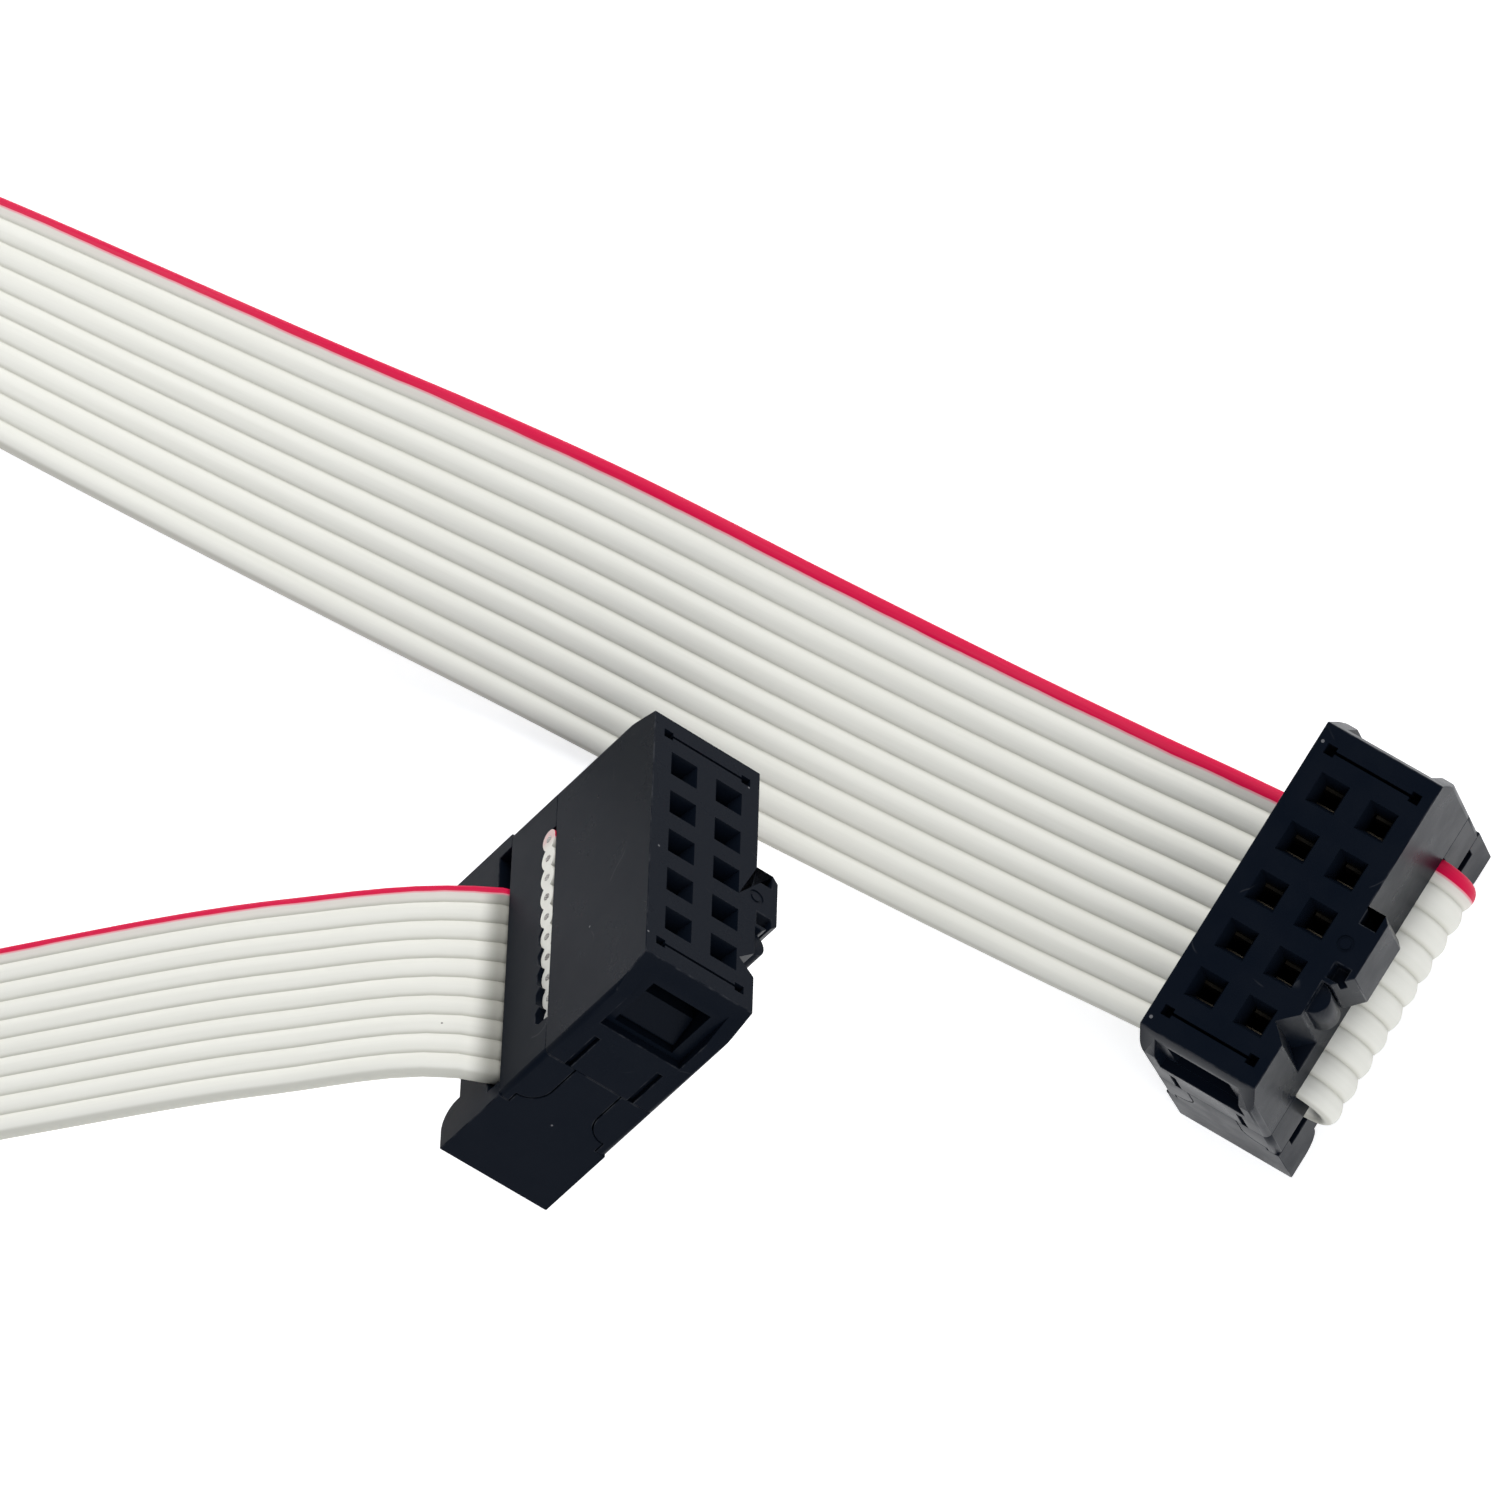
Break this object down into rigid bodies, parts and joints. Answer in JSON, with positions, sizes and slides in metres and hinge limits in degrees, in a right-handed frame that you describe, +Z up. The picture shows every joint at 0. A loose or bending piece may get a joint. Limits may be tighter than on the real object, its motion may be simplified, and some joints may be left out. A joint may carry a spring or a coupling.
{
  "type": "ribbon cable",
  "caption": "Flat grey ribbon cable with a striped edge wire and a black keyed two-row socket with strain relief pressed on each end, lying in an open loop.",
  "frame": {"origin": "on the surface, midway between the two feet that the right socket stands on", "axes": "+Z up, out of the right socket's mating face; +X towards its key and the cable's fold; +Y along its rows towards the striped wire"},
  "size_m": [0.1323, 0.0777, 0.0208],
  "materials": {
    "cable_insulation": "satin soft vinyl",
    "tinned_strands": "tinned copper strands",
    "socket_plastic": "moulded, semi-matte",
    "contact_metal": "plated, bright"
  },
  "bodies": {
    "root": {"cable_jacket": "cable_insulation", "wire_core_1": "tinned_strands", "wire_core_2": "tinned_strands", "wire_core_3": "tinned_strands", "wire_core_4": "tinned_strands", "wire_core_5": "tinned_strands", "wire_core_6": "tinned_strands", "wire_core_7": "tinned_strands", "wire_core_8": "tinned_strands", "wire_core_9": "tinned_strands", "wire_core_10": "tinned_strands", "right_housing": "socket_plastic", "right_cover": "socket_plastic", "right_strain_relief": "socket_plastic", "right_contact_1": "contact_metal", "right_contact_2": "contact_metal", "right_contact_3": "contact_metal", "right_contact_4": "contact_metal", "right_contact_5": "contact_metal", "right_contact_6": "contact_metal", "right_contact_7": "contact_metal", "right_contact_8": "contact_metal", "right_contact_9": "contact_metal", "right_contact_10": "contact_metal", "left_housing": "socket_plastic", "left_cover": "socket_plastic", "left_strain_relief": "socket_plastic", "left_contact_1": "contact_metal", "left_contact_2": "contact_metal", "left_contact_3": "contact_metal", "left_contact_4": "contact_metal", "left_contact_5": "contact_metal", "left_contact_6": "contact_metal", "left_contact_7": "contact_metal", "left_contact_8": "contact_metal", "left_contact_9": "contact_metal", "left_contact_10": "contact_metal"}
  },
  "joints": []
}
